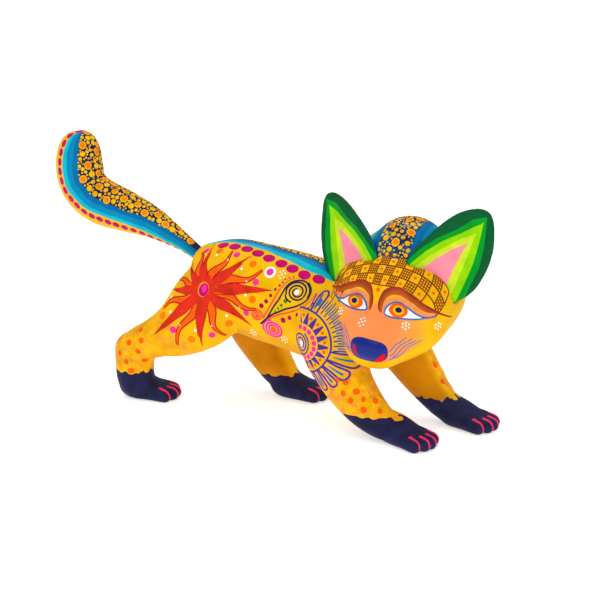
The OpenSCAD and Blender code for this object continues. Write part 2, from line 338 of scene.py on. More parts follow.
# ---- Paint ------------------------------------------------------------------
PAINTS = {
    # The ochre is a darker yellow that the skin takes as painted shade.
    "yellow": (236, 178, 0), "shade_ochre": (206, 134, 0), "peach": (250, 142, 78),
    "navy": (32, 34, 70), "deep_blue": (0, 106, 160), "blue": (0, 132, 184),
    "turquoise": (0, 182, 200), "magenta": (192, 0, 100), "pink": (248, 44, 148),
    "orange": (255, 122, 0), "red": (212, 44, 26), "flame": (255, 96, 0),
    "crimson": (186, 12, 30), "white": (252, 250, 246), "coral": (255, 80, 58),
    "green": (8, 146, 28), "purple": (82, 48, 148), "teal": (12, 120, 168),
    "brown": (146, 40, 30), "tan": (180, 86, 28), "check": (136, 42, 10),
    "nose_blue": (6, 34, 128), "scarlet": (214, 8, 30), "whisker": (66, 114, 166),
    "eye_line": (24, 108, 178), "pupil": (30, 20, 84), "claw": (255, 44, 108),
    "berry": (176, 0, 76), "amber": (246, 158, 0),
}


def linear(rgb):
    """A colour given as 0 to 255 on a screen, as the linear colour a shader takes."""
    out = []
    for c in rgb:
        c /= 255
        out.append(c / 12.92 if c <= 0.04045 else ((c + 0.055) / 1.055) ** 2.4)
    return (*out, 1)


def scaled(rgb, k):
    return tuple(min(c * k, 255) for c in rgb)


class Nodes:
    """Short calls for building a node material."""

    def __init__(self, name):
        self.mat = bpy.data.materials.new(name)
        self.mat.use_nodes = True
        self.tree = self.mat.node_tree
        self.shader = self.tree.nodes["Principled BSDF"]

    def new(self, kind, **values):
        node = self.tree.nodes.new(kind)
        for key, value in values.items():
            setattr(node, key, value)
        return node

    def link(self, a, b):
        self.tree.links.new(a, b)

    def place(self):
        return self.new("ShaderNodeTexCoord").outputs["Object"]

    def noise(self, scale, detail=3.0):
        node = self.new("ShaderNodeTexNoise")
        node.inputs["Scale"].default_value = scale
        node.inputs["Detail"].default_value = detail
        self.link(self.place(), node.inputs["Vector"])
        return node.outputs["Fac"]

    def value(self, name):
        return self.new("ShaderNodeAttribute", attribute_name=name).outputs["Fac"]

    def math(self, operation, a, b):
        node = self.new("ShaderNodeMath", operation=operation)
        for socket, v in zip(node.inputs, (a, b)):
            if isinstance(v, (int, float)):
                socket.default_value = v
            else:
                self.link(v, socket)
        return node.outputs[0]

    def step(self, value, low, high):
        """From 0 to 1 as the value goes from low to high."""
        node = self.new("ShaderNodeMapRange")
        node.inputs["From Min"].default_value = low
        node.inputs["From Max"].default_value = high
        self.link(value, node.inputs["Value"])
        return node.outputs["Result"]

    def mix(self, share, a, b):
        node = self.new("ShaderNodeMix", data_type="RGBA")
        self.link(share, node.inputs["Factor"])
        for socket, v in ((node.inputs["A"], a), (node.inputs["B"], b)):
            if isinstance(v, tuple):
                socket.default_value = v
            else:
                self.link(v, socket)
        return node.outputs["Result"]

    def coat(self, rgb, spread=0.07, scale=140.0):
        """A brushed colour that varies a little from place to place."""
        share = self.step(self.noise(scale), 0.35, 0.65)
        return self.mix(share, linear(scaled(rgb, 1 - spread)), linear(scaled(rgb, 1 + spread)))

    def finish(self, colour, rough=0.5, bump=0.12, grain=420.0, sheen=0.06):
        self.link(colour, self.shader.inputs["Base Color"])
        self.shader.inputs["Roughness"].default_value = rough
        self.shader.inputs["Specular IOR Level"].default_value = sheen
        node = self.new("ShaderNodeBump")
        node.inputs["Strength"].default_value = bump
        node.inputs["Distance"].default_value = 0.0004
        self.link(self.noise(grain, 4.0), node.inputs["Height"])
        self.link(node.outputs["Normal"], self.shader.inputs["Normal"])
        return self.mat


def paint_material(colour):
    nodes = Nodes("paint_" + colour)
    glossy = colour == "nose_blue"
    return nodes.finish(nodes.coat(PAINTS[colour]), 0.28 if glossy else 0.5,
                        sheen=0.2 if glossy else 0.06)


def blended_material(name, first, second):
    """One colour running into another along the piece's own "shade" value."""
    nodes = Nodes(name)
    share = nodes.step(nodes.value("shade"), 0.15, 0.85)
    a = nodes.coat(PAINTS[first])
    b = nodes.coat(PAINTS[second])
    return nodes.finish(nodes.mix(share, a, b))


def banded(nodes, value, ground, steps):
    """Changes colour where the value passes each step, with edges as sharp as a brush leaves."""
    colour = ground
    for limit, rgb in steps:
        share = nodes.step(value, limit - 0.02, limit + 0.02)
        colour = nodes.mix(share, colour, nodes.coat(rgb, 0.045))
    return colour


def sponged(nodes):
    """Coral dabbed between round yellow spots, for the lower legs."""
    cells = nodes.new("ShaderNodeTexVoronoi", feature="F1")
    cells.inputs["Scale"].default_value = 260
    nodes.link(nodes.place(), cells.inputs["Vector"])
    patches = nodes.step(nodes.noise(110.0), 0.40, 0.60)
    gaps = nodes.step(cells.outputs["Distance"], 0.42, 0.58)
    share = nodes.math("MULTIPLY", nodes.math("MULTIPLY", gaps, patches), 0.85)
    return nodes.mix(share, nodes.coat((238, 172, 0)), nodes.coat((240, 132, 66)))


def skin_material():
    """The painted ground of the body, head, legs and tail."""
    nodes = Nodes("painted_skin")
    colour = nodes.coat(PAINTS["yellow"], 0.05, 60.0)
    # Painted shade: ochre darkens faces that look down and the legs' inner sides, with some of the
    # ochre tone the paint has there.
    colour = nodes.mix(nodes.value("inner"), colour, nodes.coat(PAINTS["shade_ochre"], 0.08, 50.0))
    colour = nodes.mix(nodes.value("peach"), colour, nodes.coat(PAINTS["peach"], 0.03, 60.0))
    colour = nodes.mix(nodes.value("lower"), colour, sponged(nodes))
    wobble = nodes.math("MULTIPLY", nodes.math("SUBTRACT", nodes.noise(180.0), 0.5), 0.12)
    band = nodes.math("ADD", nodes.value("band"), wobble)
    stripes = banded(nodes, band, nodes.coat(PAINTS["navy"]),
                     [(1.0, PAINTS["deep_blue"]), (1.4, PAINTS["blue"]),
                      (1.7, PAINTS["turquoise"])])
    outside = nodes.step(band, 1.98, 2.02)
    colour = nodes.mix(outside, stripes, colour)
    scallop = nodes.math("MULTIPLY", nodes.math("SUBTRACT", nodes.noise(240.0, 0.0), 0.5), 5.0)
    paw = nodes.math("ADD", nodes.value("paw"), scallop)
    colour = nodes.mix(nodes.step(paw, -0.1, 0.1), colour, nodes.coat(PAINTS["navy"], 0.12))
    return nodes.finish(colour, 0.5, 0.16, 300.0)


def ear_material():
    """Nested leaf shapes in front, and bands of colour behind."""
    nodes = Nodes("painted_ear")
    front = banded(nodes, nodes.value("zone"), nodes.coat((8, 88, 46), 0.04),
                   [(1.0, (0, 150, 36)), (2.0, (140, 210, 0)), (3.0, (196, 222, 40)),
                    (4.0, (255, 142, 160))])
    back = banded(nodes, nodes.value("rise"), nodes.coat(PAINTS["deep_blue"]),
                  [(8.0, PAINTS["blue"]), (14.0, PAINTS["turquoise"]), (18.0, (255, 160, 40))])
    share = nodes.step(nodes.value("front"), 0.4, 0.6)
    return nodes.finish(nodes.mix(share, back, front), 0.45)


def wood_material():
    nodes = Nodes("bare_copal")
    stretch = nodes.new("ShaderNodeMapping")
    stretch.inputs["Scale"].default_value = (1, 1, 0.12)
    nodes.link(nodes.place(), stretch.inputs["Vector"])
    grain = nodes.new("ShaderNodeTexNoise")
    grain.inputs["Scale"].default_value = 900
    grain.inputs["Detail"].default_value = 5
    nodes.link(stretch.outputs["Vector"], grain.inputs["Vector"])
    share = nodes.step(grain.outputs["Fac"], 0.3, 0.7)
    colour = nodes.mix(share, linear((214, 178, 128)), linear((238, 212, 168)))
    return nodes.finish(colour, 0.7, 0.3, 800.0)


# ---- Painting on a surface --------------------------------------------------
class Surface:
    """A carved piece to paint on. The chart turns two numbers into a line that meets it."""

    def __init__(self, meshes, chart):
        points = []
        faces = []
        normals = []
        for mesh in meshes:
            start = sum(len(p) for p in points)
            faces += [tuple(i + start for i in f) for f in mesh_faces(mesh)]
            points.append(mesh_points(mesh))
            normals.append(mesh_normals(mesh))
        self.points = np.concatenate(points)
        self.normals = np.concatenate(normals)
        self.faces = faces
        self.tree = BVHTree.FromPolygons(self.points.tolist(), faces)
        self.chart = chart

    def using(self, chart):
        other = object.__new__(Surface)
        other.__dict__.update(self.__dict__)
        other.chart = chart
        return other

    def answer(self, found):
        place, _, index, _ = found
        normal = self.normals[list(self.faces[index])].mean(0)
        return np.array(place), unit(normal)

    def near(self, point):
        return self.answer(self.tree.find_nearest(Vector(point)))

    def at(self, u, v):
        start, aim, reach = self.chart(u, v)
        found = self.tree.ray_cast(Vector(start), Vector(aim))
        if found[0] is None:
            return self.near(np.array(start) + np.array(aim) * reach)
        return self.answer(found)


def flank_chart(side):
    """Length and height on a flank; side is 1 for the right flank and -1 for the left."""
    def chart(x, z):
        return (x, -150 * side, z), (0, side, 0), 130
    return chart


def head_chart(azimuth, elevation):
    a = math.radians(azimuth)
    e = math.radians(elevation)
    aim = np.array((math.cos(e) * math.cos(a), math.cos(e) * math.sin(a), math.sin(e)))
    return head_point(np.array((-2, 0, 0)) + aim * 70), head_direction(-aim), 35


def brow_chart(turn, forward):
    """Angle round the snout's line from straight up, and distance forward in the head."""
    a = math.radians(turn)
    aim = np.array((0, math.sin(a), math.cos(a)))
    return head_point(np.array((forward, 0, -2)) + aim * 70), head_direction(-aim), 40


def crown_chart(across, forward):
    return head_point((forward, across, 120)), head_direction((0, 0, -1)), 80


def ear_chart(hand, face):
    """Outward and up on an ear; face is 1 for its front and -1 for its back."""
    across, front, up = ear_axes(hand)
    root = EAR_ROOT * [1, hand, 1]

    def chart(out, rise):
        start = head_point(root + across * out + up * rise + front * 60 * face)
        return start, head_direction(-front * face), 60
    return chart


def tail_chart(s, angle):
    x = np.interp(s, TAIL_S, TAIL_P[:, 0])
    z = np.interp(s, TAIL_S, TAIL_P[:, 1])
    inner = [np.interp(s, TAIL_S, TAIL_IN[:, k]) for k in (0, 1)]
    c = math.cos(math.radians(angle))
    aim = (inner[0] * c, -math.sin(math.radians(angle)), inner[1] * c)
    return (x, 0, z), unit(aim), 12


def trunk_chart(x, angle):
    a = math.radians(angle)
    middle = np.interp(x, TRUNK_X, TRUNK_Z)
    return (x, 0, middle), (0, -math.sin(a), math.cos(a)), 26


LAYER = 0.07
SINK = -0.08
EDGE = 0.12


class Coat:
    """All the shapes of one colour on one body."""

    def __init__(self):
        self.points = []
        self.faces = []
        self.shade = []

    def add(self, points, faces, shade=None):
        start = len(self.points)
        self.points += [tuple(p) for p in points]
        self.faces += [tuple(i + start for i in f) for f in faces]
        self.shade += list(shade) if shade is not None else [0.0] * len(points)


coats = {}


def coat_of(body, colour):
    return coats.setdefault((body, colour), Coat())


def bridge(rows):
    """Faces between rows of equally many points, numbered row after row."""
    count = len(rows[0])
    faces = []
    for r in range(len(rows) - 1):
        for j in range(count - 1):
            a = r * count + j
            faces.append((a, a + 1, a + count + 1, a + count))
    return faces


class Brush:
    """Lays thin raised shapes on a surface. Higher layers lie on lower ones."""

    def __init__(self, surface, body):
        self.surface = surface
        self.body = body

    def using(self, chart):
        return Brush(self.surface.using(chart), self.body)

    def frame_at(self, u, v):
        """A place, its normal, and the chart's first direction along the surface."""
        place, normal = self.surface.at(u, v)
        ahead, _ = self.surface.at(u + 0.4, v)
        first = ahead - place
        first = first - normal * (first @ normal)
        if np.linalg.norm(first) < 1e-6:
            first = np.cross(normal, [0, 0, 1]) + [1e-6, 0, 0]
        first = unit(first)
        return place, normal, first, np.cross(normal, first)

    def dot(self, colour, u, v, rx, ry=None, layer=0, turn=0.0):
        """A filled round or oval dab; rx is along the chart's first direction."""
        ry = rx if ry is None else ry
        place, normal, first, second = self.frame_at(u, v)
        sides = 8 if rx < 0.7 else 12 if rx < 1.6 else 20
        turn = math.radians(turn)
        height = 0.12 + LAYER * layer
        points = [place + normal * height * 1.1]
        for share, grow_by, lift in ((0.6, 0, height * 1.05), (1, 0, height), (1, EDGE, SINK)):
            for j in range(sides):
                a = 2 * math.pi * j / sides
                x = (rx * share + grow_by) * math.cos(a)
                y = (ry * share + grow_by) * math.sin(a)
                x, y = (x * math.cos(turn) - y * math.sin(turn),
                        x * math.sin(turn) + y * math.cos(turn))
                spot, up = self.surface.near(place + first * x + second * y)
                points.append(spot + up * lift)
        faces = [(0, 1 + j, 1 + (j + 1) % sides) for j in range(sides)]
        for ring in range(2):
            a = 1 + ring * sides
            for j in range(sides):
                k = (j + 1) % sides
                faces.append((a + j, a + sides + j, a + sides + k, a + k))
        coat_of(self.body, colour).add(points, faces)

    def line(self, colour, path, width, layer=0, tip=1.0, stops=False):
        """A stroke through chart points; tip is the share of the width left at its end.

        A stroke that stops goes no further than the first step in the surface."""
        places = np.array([self.surface.at(u, v)[0] for u, v in curve(path)])
        steps = np.linalg.norm(np.diff(places, axis=0), axis=1)
        breaks = np.nonzero(steps > max(2.2, 5 * np.median(steps)))[0] + 1
        runs = np.split(places, breaks)
        if stops:
            runs = runs[:1]
        for run in runs:
            self.stroke(colour, run, width, layer, tip)

    def stroke(self, colour, places, width, layer, tip):
        """One unbroken stroke through places on the surface."""
        length = np.concatenate([[0], np.cumsum(np.linalg.norm(np.diff(places, axis=0), axis=1))])
        if length[-1] < 0.8:
            return
        count = max(int(length[-1] / 0.9), 3)
        even = [[np.interp(d, length, places[:, k]) for k in range(3)]
                for d in np.linspace(0, length[-1], count)]
        spots = [self.surface.near(p) for p in even]
        places = np.array([s[0] for s in spots])
        runs = np.gradient(places, axis=0)
        height = 0.12 + LAYER * layer
        rows = []
        for i, ((place, normal), run) in enumerate(zip(spots, runs)):
            side = unit(np.cross(normal, run + 1e-9))
            half = width / 2 * (1 + (tip - 1) * (i / (count - 1)) ** 1.5)
            row = []
            for across, lift in ((-half - EDGE, SINK), (-half, height), (0, height * 1.1),
                                 (half, height), (half + EDGE, SINK)):
                spot, up = self.surface.near(place + side * across)
                row.append(spot + up * lift)
            rows.append(row)
        coat_of(self.body, colour).add([p for row in rows for p in row], bridge(rows))

    def strip(self, colour, left, right, layer=0, across=6):
        """A filled shape between two matching rows of chart points."""
        left = np.array(curve(left))
        right = np.array(curve(right))
        height = 0.12 + LAYER * layer
        rows = []
        for a, b in zip(left, right):
            row = []
            for j in range(across + 1):
                u, v = a + (b - a) * j / across
                spot, up = self.surface.at(u, v)
                rim = j in (0, across)
                row.append(spot + up * (SINK if rim else height))
            rows.append(row)
        for end in (0, -1):
            rows[end] = [np.array(p) for p in rows[end]]
        shade = [j / across for _ in rows for j in range(across + 1)]
        coat_of(self.body, colour).add([p for row in rows for p in row], bridge(rows), shade)

    def fill(self, colour, outline, middle, layer=0, rings=6, shade=None):
        """A filled shape seen whole from its middle, from its outline in chart points."""
        outline = np.array(outline, float)
        middle = np.array(middle, float)
        count = len(outline)
        height = 0.12 + LAYER * layer
        place, up = self.surface.at(*middle)
        points = [place + up * height]
        for r in range(1, rings + 2):
            share = min(r / rings, 1)
            if r == rings:
                share = 0.985
            for u, v in middle + (outline - middle) * share:
                spot, up = self.surface.at(u, v)
                points.append(spot + up * (SINK if r > rings else height))
        faces = [(0, 1 + j, 1 + (j + 1) % count) for j in range(count)]
        for r in range(rings):
            a = 1 + r * count
            for j in range(count):
                k = (j + 1) % count
                faces.append((a + j, a + count + j, a + count + k, a + k))
        values = [0.0] + [min(r / rings, 1) for r in range(1, rings + 2) for _ in range(count)]
        coat_of(self.body, colour).add(points, faces, values)


def curve(path, per_key=8):
    """A smooth line through the keys."""
    path = np.array(path, float)
    if len(path) < 3:
        return [path[0] + (path[-1] - path[0]) * t for t in np.linspace(0, 1, 2 * per_key)]
    out = []
    for i in range(len(path) - 1):
        a = path[i - 1] if i else 2 * path[0] - path[1]
        b = path[i]
        c = path[i + 1]
        d = path[i + 2] if i + 2 < len(path) else 2 * c - b
        for t in np.arange(per_key) / per_key:
            out.append(0.5 * (2 * b + (c - a) * t + (2 * a - 5 * b + 4 * c - d) * t * t
                              + (3 * b - a - 3 * c + d) * t ** 3))
    out.append(path[-1])
    return out


def spiral(u, v, ru, rv, turns, start, inner=0.22, way=1):
    """Keys of a spiral from its outside in."""
    count = int(turns * 12)
    keys = []
    for i in range(count + 1):
        t = i / count
        a = math.radians(start) + way * 2 * math.pi * turns * t
        share = 1 + (inner - 1) * t
        keys.append((u + ru * share * math.cos(a), v + rv * share * math.sin(a)))
    return keys


def cluster(brush, u, v, du, dv, layer=0):
    """Seven tiny white dots."""
    brush.dot("white", u, v, 0.5, layer=layer)
    for j in range(6):
        a = math.pi * j / 3 + 0.4
        brush.dot("white", u + du * math.cos(a), v + dv * math.sin(a), 0.48, layer=layer)


# ---- Building the carved pieces ---------------------------------------------
def ramp(values, low, high):
    return np.clip((values - low) / (high - low), 0, 1)


def carve_skin():
    """The glued blocks as one smooth surface, before it is divided at their seams."""
    skin = joined_copy("skin", BLOCKS + DOWELS)
    remesh(skin, 0.9)
    points = mesh_points(skin.data)
    nose = to_head(points)[:, 0] > 30
    smooth(skin, 40, np.clip((points[:, 2] - 8) / 14, 0.12, 1) * np.where(nose, 0.4, 1))
    grow(skin, 0.2)
    shape_face(skin)
    knife_marks(skin, 0.16, 9.0)
    points = mesh_points(skin.data)
    points[:, 2] = np.maximum(points[:, 2], 0.05)
    set_points(skin.data, points)
    return skin


def shape_face(skin):
    """Raised brows and eyeballs, and hollows beside the bridge of the nose."""
    points = mesh_points(skin.data)
    normals = mesh_normals(skin.data)
    from_middle = to_head(points) - [-2, 0, 0]
    azimuth = np.degrees(np.arctan2(from_middle[:, 1], from_middle[:, 0]))
    flat = np.hypot(from_middle[:, 0], from_middle[:, 1])
    elevation = np.degrees(np.arctan2(from_middle[:, 2], flat))
    level = elevation + 0.065 * azimuth
    aside = np.abs(azimuth)
    away = np.linalg.norm(from_middle, axis=1)

    def bump(a, e, wide, high):
        return np.exp(-((aside - a) / wide) ** 2 - ((level - e) / high) ** 2)

    lift = (1.3 * bump(28, 8, 13, 7) + 1.5 * bump(24, 25, 22, 7) + 1.0 * bump(52, 14, 12, 8)
            - 1.6 * bump(10, 2, 6, 9) - 0.8 * bump(24, 17.5, 16, 3) - 0.7 * bump(35, -6, 20, 5))
    lift -= 2.8 * bump(84, -12, 26, 20) * ramp(azimuth, 15, 50)
    set_points(skin.data, points + (lift * (away < 52))[:, None] * normals)


def carve_plug(node, rounds, voxel):
    """An ear or the tail as a smooth piece of its own."""
    obj = joined_copy("carved_" + node, [node])
    remesh(obj, voxel)
    smooth(obj, rounds)
    grow(obj, 0.12)
    return obj


def hollow_ear(obj, hand):
    """Scoops the ear's front."""
    out, rise, ahead = ear_place(mesh_points(obj.data), hand)
    points = mesh_points(obj.data)
    normals = mesh_normals(obj.data)
    front = head_direction(ear_axes(hand)[1])
    facing = ramp(normals @ front, 0.35, 0.8)
    middle = np.interp(rise, [0, 10, 20, 30, 40, 48], [1.5, 2, 2.5, 2.7, 2.2, 2.2])
    half = np.interp(rise, [0, 10, 20, 30, 40, 48], [17, 18.5, 16.5, 12.5, 8, 1])
    inside = np.clip(1 - ((out - middle) / half) ** 2, 0, 1)
    if hand > 0:
        spread = 0.12 * ramp(rise, 16, 38) * (out - middle)
        points = points + spread[:, None] * head_direction(ear_axes(hand)[0])
    depth = 2.6 * facing * inside ** 1.2 * ramp(rise, -1, 6) * (1 - ramp(rise, 36, 46))
    set_points(obj.data, points - depth[:, None] * front)


def ear_place(points, hand):
    """Outward, up and forward on an ear, for design points."""
    across, front, up = ear_axes(hand)
    away = to_head(points) - EAR_ROOT * [1, hand, 1]
    return away @ across, away @ up, away @ front


def make_cutter(nodes):
    """The room that a plugged piece needs, a little larger than the piece."""
    cutter = joined_copy("cutter", nodes)
    remesh(cutter, 0.5)
    smooth(cutter, 3)
    grow(cutter, 0.34)
    return cutter


def split_skin(skin):
    """One piece for each block, meeting at the seams without a step in the shading."""
    mesh = skin.data
    points = mesh_points(mesh)
    normals = mesh_normals(mesh)
    faces = mesh_faces(mesh)
    trees = []
    for node in BLOCKS:
        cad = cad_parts[node].data
        trees.append(BVHTree.FromPolygons(mesh_points(cad).tolist(), mesh_faces(cad)))
    owner = np.empty(len(points), dtype=int)
    for i, p in enumerate(points):
        owner[i] = np.argmin([tree.find_nearest(Vector(p))[3] for tree in trees])
    pieces = {}
    face_owner = np.array([np.bincount(owner[list(f)]).argmax() for f in faces])
    for k, node in enumerate(BLOCKS):
        mine = [faces[i] for i in np.nonzero(face_owner == k)[0]]
        used = sorted({i for f in mine for i in f})
        number = {old: new for new, old in enumerate(used)}
        part_faces = [tuple(number[i] for i in f) for f in mine]
        part = new_object("carved_" + node, points[used], part_faces)
        caps = close_holes(part)
        own = np.concatenate([normals[used], caps])
        part.data.normals_split_custom_set_from_vertices(own.tolist())
        pieces[node] = part
    return pieces


def close_holes(obj):
    """Closes the open seams with a shallow fan behind each, and returns the fans' normals."""
    bm = bmesh.new()
    bm.from_mesh(obj.data)
    bm.verts.ensure_lookup_table()
    middle = sum((v.co for v in bm.verts), Vector()) / len(bm.verts)
    open_edges = {e for e in bm.edges if e.is_boundary}
    added = []
    while open_edges:
        edge = open_edges.pop()
        loop = [edge]
        ends = [edge.verts[1]]
        while True:
            link = next((e for e in ends[-1].link_edges if e in open_edges), None)
            if link is None:
                break
            open_edges.discard(link)
            loop.append(link)
            ends.append(link.other_vert(ends[-1]))
        if len(loop) < 3:
            continue
        centre = sum((v.co for v in ends), Vector()) / len(ends)
        tip = bm.verts.new(centre + (middle - centre) * 0.12)
        for e in loop:
            a, b = e.verts
            face = e.link_faces[0]
            order = [v for v in face.verts]
            i = order.index(a)
            if order[(i + 1) % len(order)] == b:
                a, b = b, a
            bm.faces.new((a, b, tip))
        added.append(unit(centre - middle))
    bm.to_mesh(obj.data)
    bm.free()
    obj.data.shade_smooth()
    return np.array(added).reshape(-1, 3)


# ---- Where the grounds of colour lie ----------------------------------------
BAND_X = [-60, -40, -10, 0, 10, 20, 30, 45]
BAND_NAVY = [-10, -8, -3, 0, 2, 4, 6, 8]
BAND_BLUE = [-4, -3, 2, 5, 6, 9, 11, 12]
BAND_TURQUOISE = [4, 4, 6, 10, 11, 16, 17, 18]
BAND_YELLOW = [10, 11, 13, 18, 21, 26, 27, 27]
FAR_SIDE = 28
TAIL_KEYS = [0, 20, 40, 60, 80, 95, 135]
TAIL_NAVY = [51, 51, 62, 72, 72, 61, 60]
TAIL_BLUE = [70, 72, 80, 88, 88, 78, 76]
TAIL_TURQUOISE = [100, 104, 107, 108, 108, 98, 97]
TAIL_YELLOW = [128, 130, 126, 121, 120, 115, 112]


def stage_of(value, navy, blue, turquoise, yellow):
    """1, 1.4, 1.7 and 2 where the value meets each limit, and in proportion between them."""
    out = 1 - (navy - value) / 40
    for low, high, a, b in ((navy, blue, 1.0, 1.4), (blue, turquoise, 1.4, 1.7),
                            (turquoise, yellow, 1.7, 2.0)):
        share = (value - low) / (high - low)
        out = np.where(value >= low, a + (b - a) * share, out)
    return np.where(value >= yellow, 2 + (value - yellow) / 20, out)


def trunk_band(points):
    angle = trunk_angle(points)
    limits = [np.interp(points[:, 0], BAND_X, row)
              for row in (BAND_NAVY, BAND_BLUE, BAND_TURQUOISE, BAND_YELLOW)]
    mirrored = 2 * limits[0] - FAR_SIDE - angle
    value = np.where(angle > limits[0] - FAR_SIDE / 2, angle, mirrored)
    return stage_of(value, *limits)


def crown_band(points):
    local = to_head(points)
    ahead = np.clip(local[:, 0] - 1, 0, None) / 5
    across = np.abs(local[:, 1] + 0.5) / 10.5
    value = np.hypot(across, ahead)
    band = stage_of(value, 1.0, 1.3, 1.55, 1.8)
    in_front = (local[:, 0] > 4) & (value > 1)
    low = local[:, 2] < 24
    return np.where(in_front | low, 3.0, band)


def tail_band(points):
    s, angle = tail_place(points)
    limits = [np.interp(s, TAIL_KEYS, row)
              for row in (TAIL_NAVY, TAIL_BLUE, TAIL_TURQUOISE, TAIL_YELLOW)]
    return stage_of(np.abs(angle), *limits)


def peach_share(points):
    """The warm muzzle, fading out over the cheeks and ending above the jaw."""
    local = to_head(points) - [-2, 0, 0]
    azimuth = np.degrees(np.arctan2(local[:, 1], local[:, 0]))
    elevation = np.degrees(np.arctan2(local[:, 2], np.hypot(local[:, 0], local[:, 1])))
    elevation = elevation + 0.065 * azimuth
    aside = np.abs(azimuth)
    jaw = -31 + 0.0045 * aside ** 2
    sides = 1 - ramp(aside, 26, 56)
    return sides * ramp(elevation, jaw - 0.6, jaw + 0.6) * (1 - ramp(elevation, 9, 15))


def leg_values(node, points, normals):
    """How much each point belongs to the paw and the sponged shank, and how much painted shade darkens
    its inner side.
    """
    side = -1 if node.startswith("right") else 1
    height = points[:, 2]
    if "hind" in node:
        top = 19 if side < 0 else 15
        shank = ramp(60 - height - 0.9 * np.clip(points[:, 0] + 62, 0, None), 0, 8)
    else:
        top = 15 if side < 0 else 17
        shank = ramp(42 - height + 0.35 * (points[:, 0] - 50), 0, 6)
    outward = ramp(normals[:, 1] * side + 0.5 * normals[:, 0], -0.05, 0.35)
    # Painted shade: ochre darkens the side that faces the other legs and the belly.
    inner = 1 - ramp(normals[:, 1] * side + 0.35 * normals[:, 0], -0.35, 0.15)
    return top - height, shank * outward, inner * ramp(75 - height, 0, 15)


def colour_values(node, mesh):
    points = mesh_points(mesh)
    normals = mesh_normals(mesh)
    none = np.zeros(len(points))
    values = {"band": none + 3, "paw": none - 9, "peach": none, "lower": none, "inner": none}
    if node == "head":
        values["band"] = crown_band(points)
        values["peach"] = peach_share(points)
        # Painted shade: ochre darkens the faces that look down, under the jaw.
        values["inner"] = 0.55 * ramp(-normals[:, 2], 0.45, 0.9)
    elif node == "tail":
        values["band"] = tail_band(points)
    elif node == "torso":
        values["band"] = np.where(points[:, 2] > 74, trunk_band(points), 3)
        # Painted shade: ochre darkens the belly and other faces that look down.
        values["inner"] = 0.7 * ramp(-normals[:, 2], 0.35, 0.85)
    else:
        values["paw"], values["lower"], values["inner"] = leg_values(node, points, normals)
        values["band"] = np.where(points[:, 2] > 88, trunk_band(points), 3)
    for name, value in values.items():
        add_values(mesh, name, value)


LEAVES = [
    ([0, 10, 20, 30, 40, 45, 46], [-18, -15.3, -11.4, -5.6, -1.6, 3.4, 3.5],
     [20.5, 18.5, 16.8, 12.6, 7, 4, 3.6]),
    ([0, 10, 20, 30, 37, 41, 42], [-15, -12.4, -8.3, -2.4, 1.2, 3.9, 4],
     [17, 15, 12.6, 9, 6, 4.3, 4.1]),
    ([0, 10, 20, 28, 33.5, 34, 35], [-12, -9, -4.5, -0.4, 3.8, 3.9, 4],
     [13, 10.5, 8, 5.8, 4.3, 4.2, 4.1]),
    ([0, 10, 20, 27, 28, 29, 30], [-8.5, -5.6, -1.2, 3.4, 3.5, 3.6, 3.7],
     [8.5, 6, 4.3, 3.7, 3.6, 3.7, 3.8]),
]


def leaf_zone(out, rise):
    """Half on the ear's rim, and one more inside each nested leaf shape."""
    middle = np.interp(rise, [0, 27, 46], [0.2, 3.5, 3.8])
    zone = np.full(len(out), 0.5)
    for keys, lefts, rights in LEAVES:
        inside = np.where(out >= middle, np.interp(rise, keys, rights) - out,
                          out - np.interp(rise, keys, lefts))
        inside = np.minimum(inside, keys[-1] - rise)
        zone += np.clip(inside / 1.5 + 0.5, 0, 1)
    return zone


def ear_values(obj, hand):
    mesh = obj.data
    out, rise, ahead = ear_place(mesh_points(mesh), hand)
    facing = mesh_normals(mesh) @ head_direction(ear_axes(hand)[1])
    add_values(mesh, "zone", leaf_zone(out, rise))
    add_values(mesh, "rise", rise + 0.5 * out)
    add_values(mesh, "front", ramp(facing, -0.15, 0.15))


# ---- Motifs -----------------------------------------------------------------
SPIKES = [(107, 22.5), (41, 30), (5, 42), (-35, 34), (-94, 35), (-136, 43), (-171, 25),
          (144, 19.5)]
FLAMES = [(65, 23), (21.5, 36), (-15, 34), (-69, 29.5), (-116, 38.5), (-153, 31.5), (173, 20.5),
          (124, 21)]


def polar(u, v, r, angle):
    a = math.radians(angle)
    return (u + r * math.cos(a), v + r * math.sin(a))


def clear_reach(brush, u, v, angle, reach):
    """How far a ray runs before the surface under it falls away."""
    last, _ = brush.surface.at(*polar(u, v, 6, angle))
    for r in np.arange(7, reach + 0.5, 1.0):
        place, normal = brush.surface.at(*polar(u, v, r, angle))
        if np.linalg.norm(place - last) > 3.2:
            return max(r - 2.5, 8)
        last = place
    return reach


def flame(brush, u, v, angle, reach):
    """One wavy orange ray with a crimson outline."""
    reach = clear_reach(brush, u, v, angle, reach)
    left = []
    right = []
    for i in range(9):
        t = i / 8
        r = 6.5 + (reach - 6.5) * t
        sway = 8.5 * math.sin(2 * math.pi * (0.95 * t + 0.08)) * (0.35 + 0.65 * (1 - t))
        half = 17 * (1 - t) ** 0.8 * (1 + 0.25 * math.sin(5 * t)) * (8 / max(r, 8)) + 0.8
        left.append(polar(u, v, r, angle + sway + half))
        right.append(polar(u, v, r, angle + sway - half))
    brush.strip("flame", left, right, 0, 4)
    brush.line("crimson", left, 0.7, 1, 0.7)
    brush.line("crimson", right, 0.7, 1, 0.7)


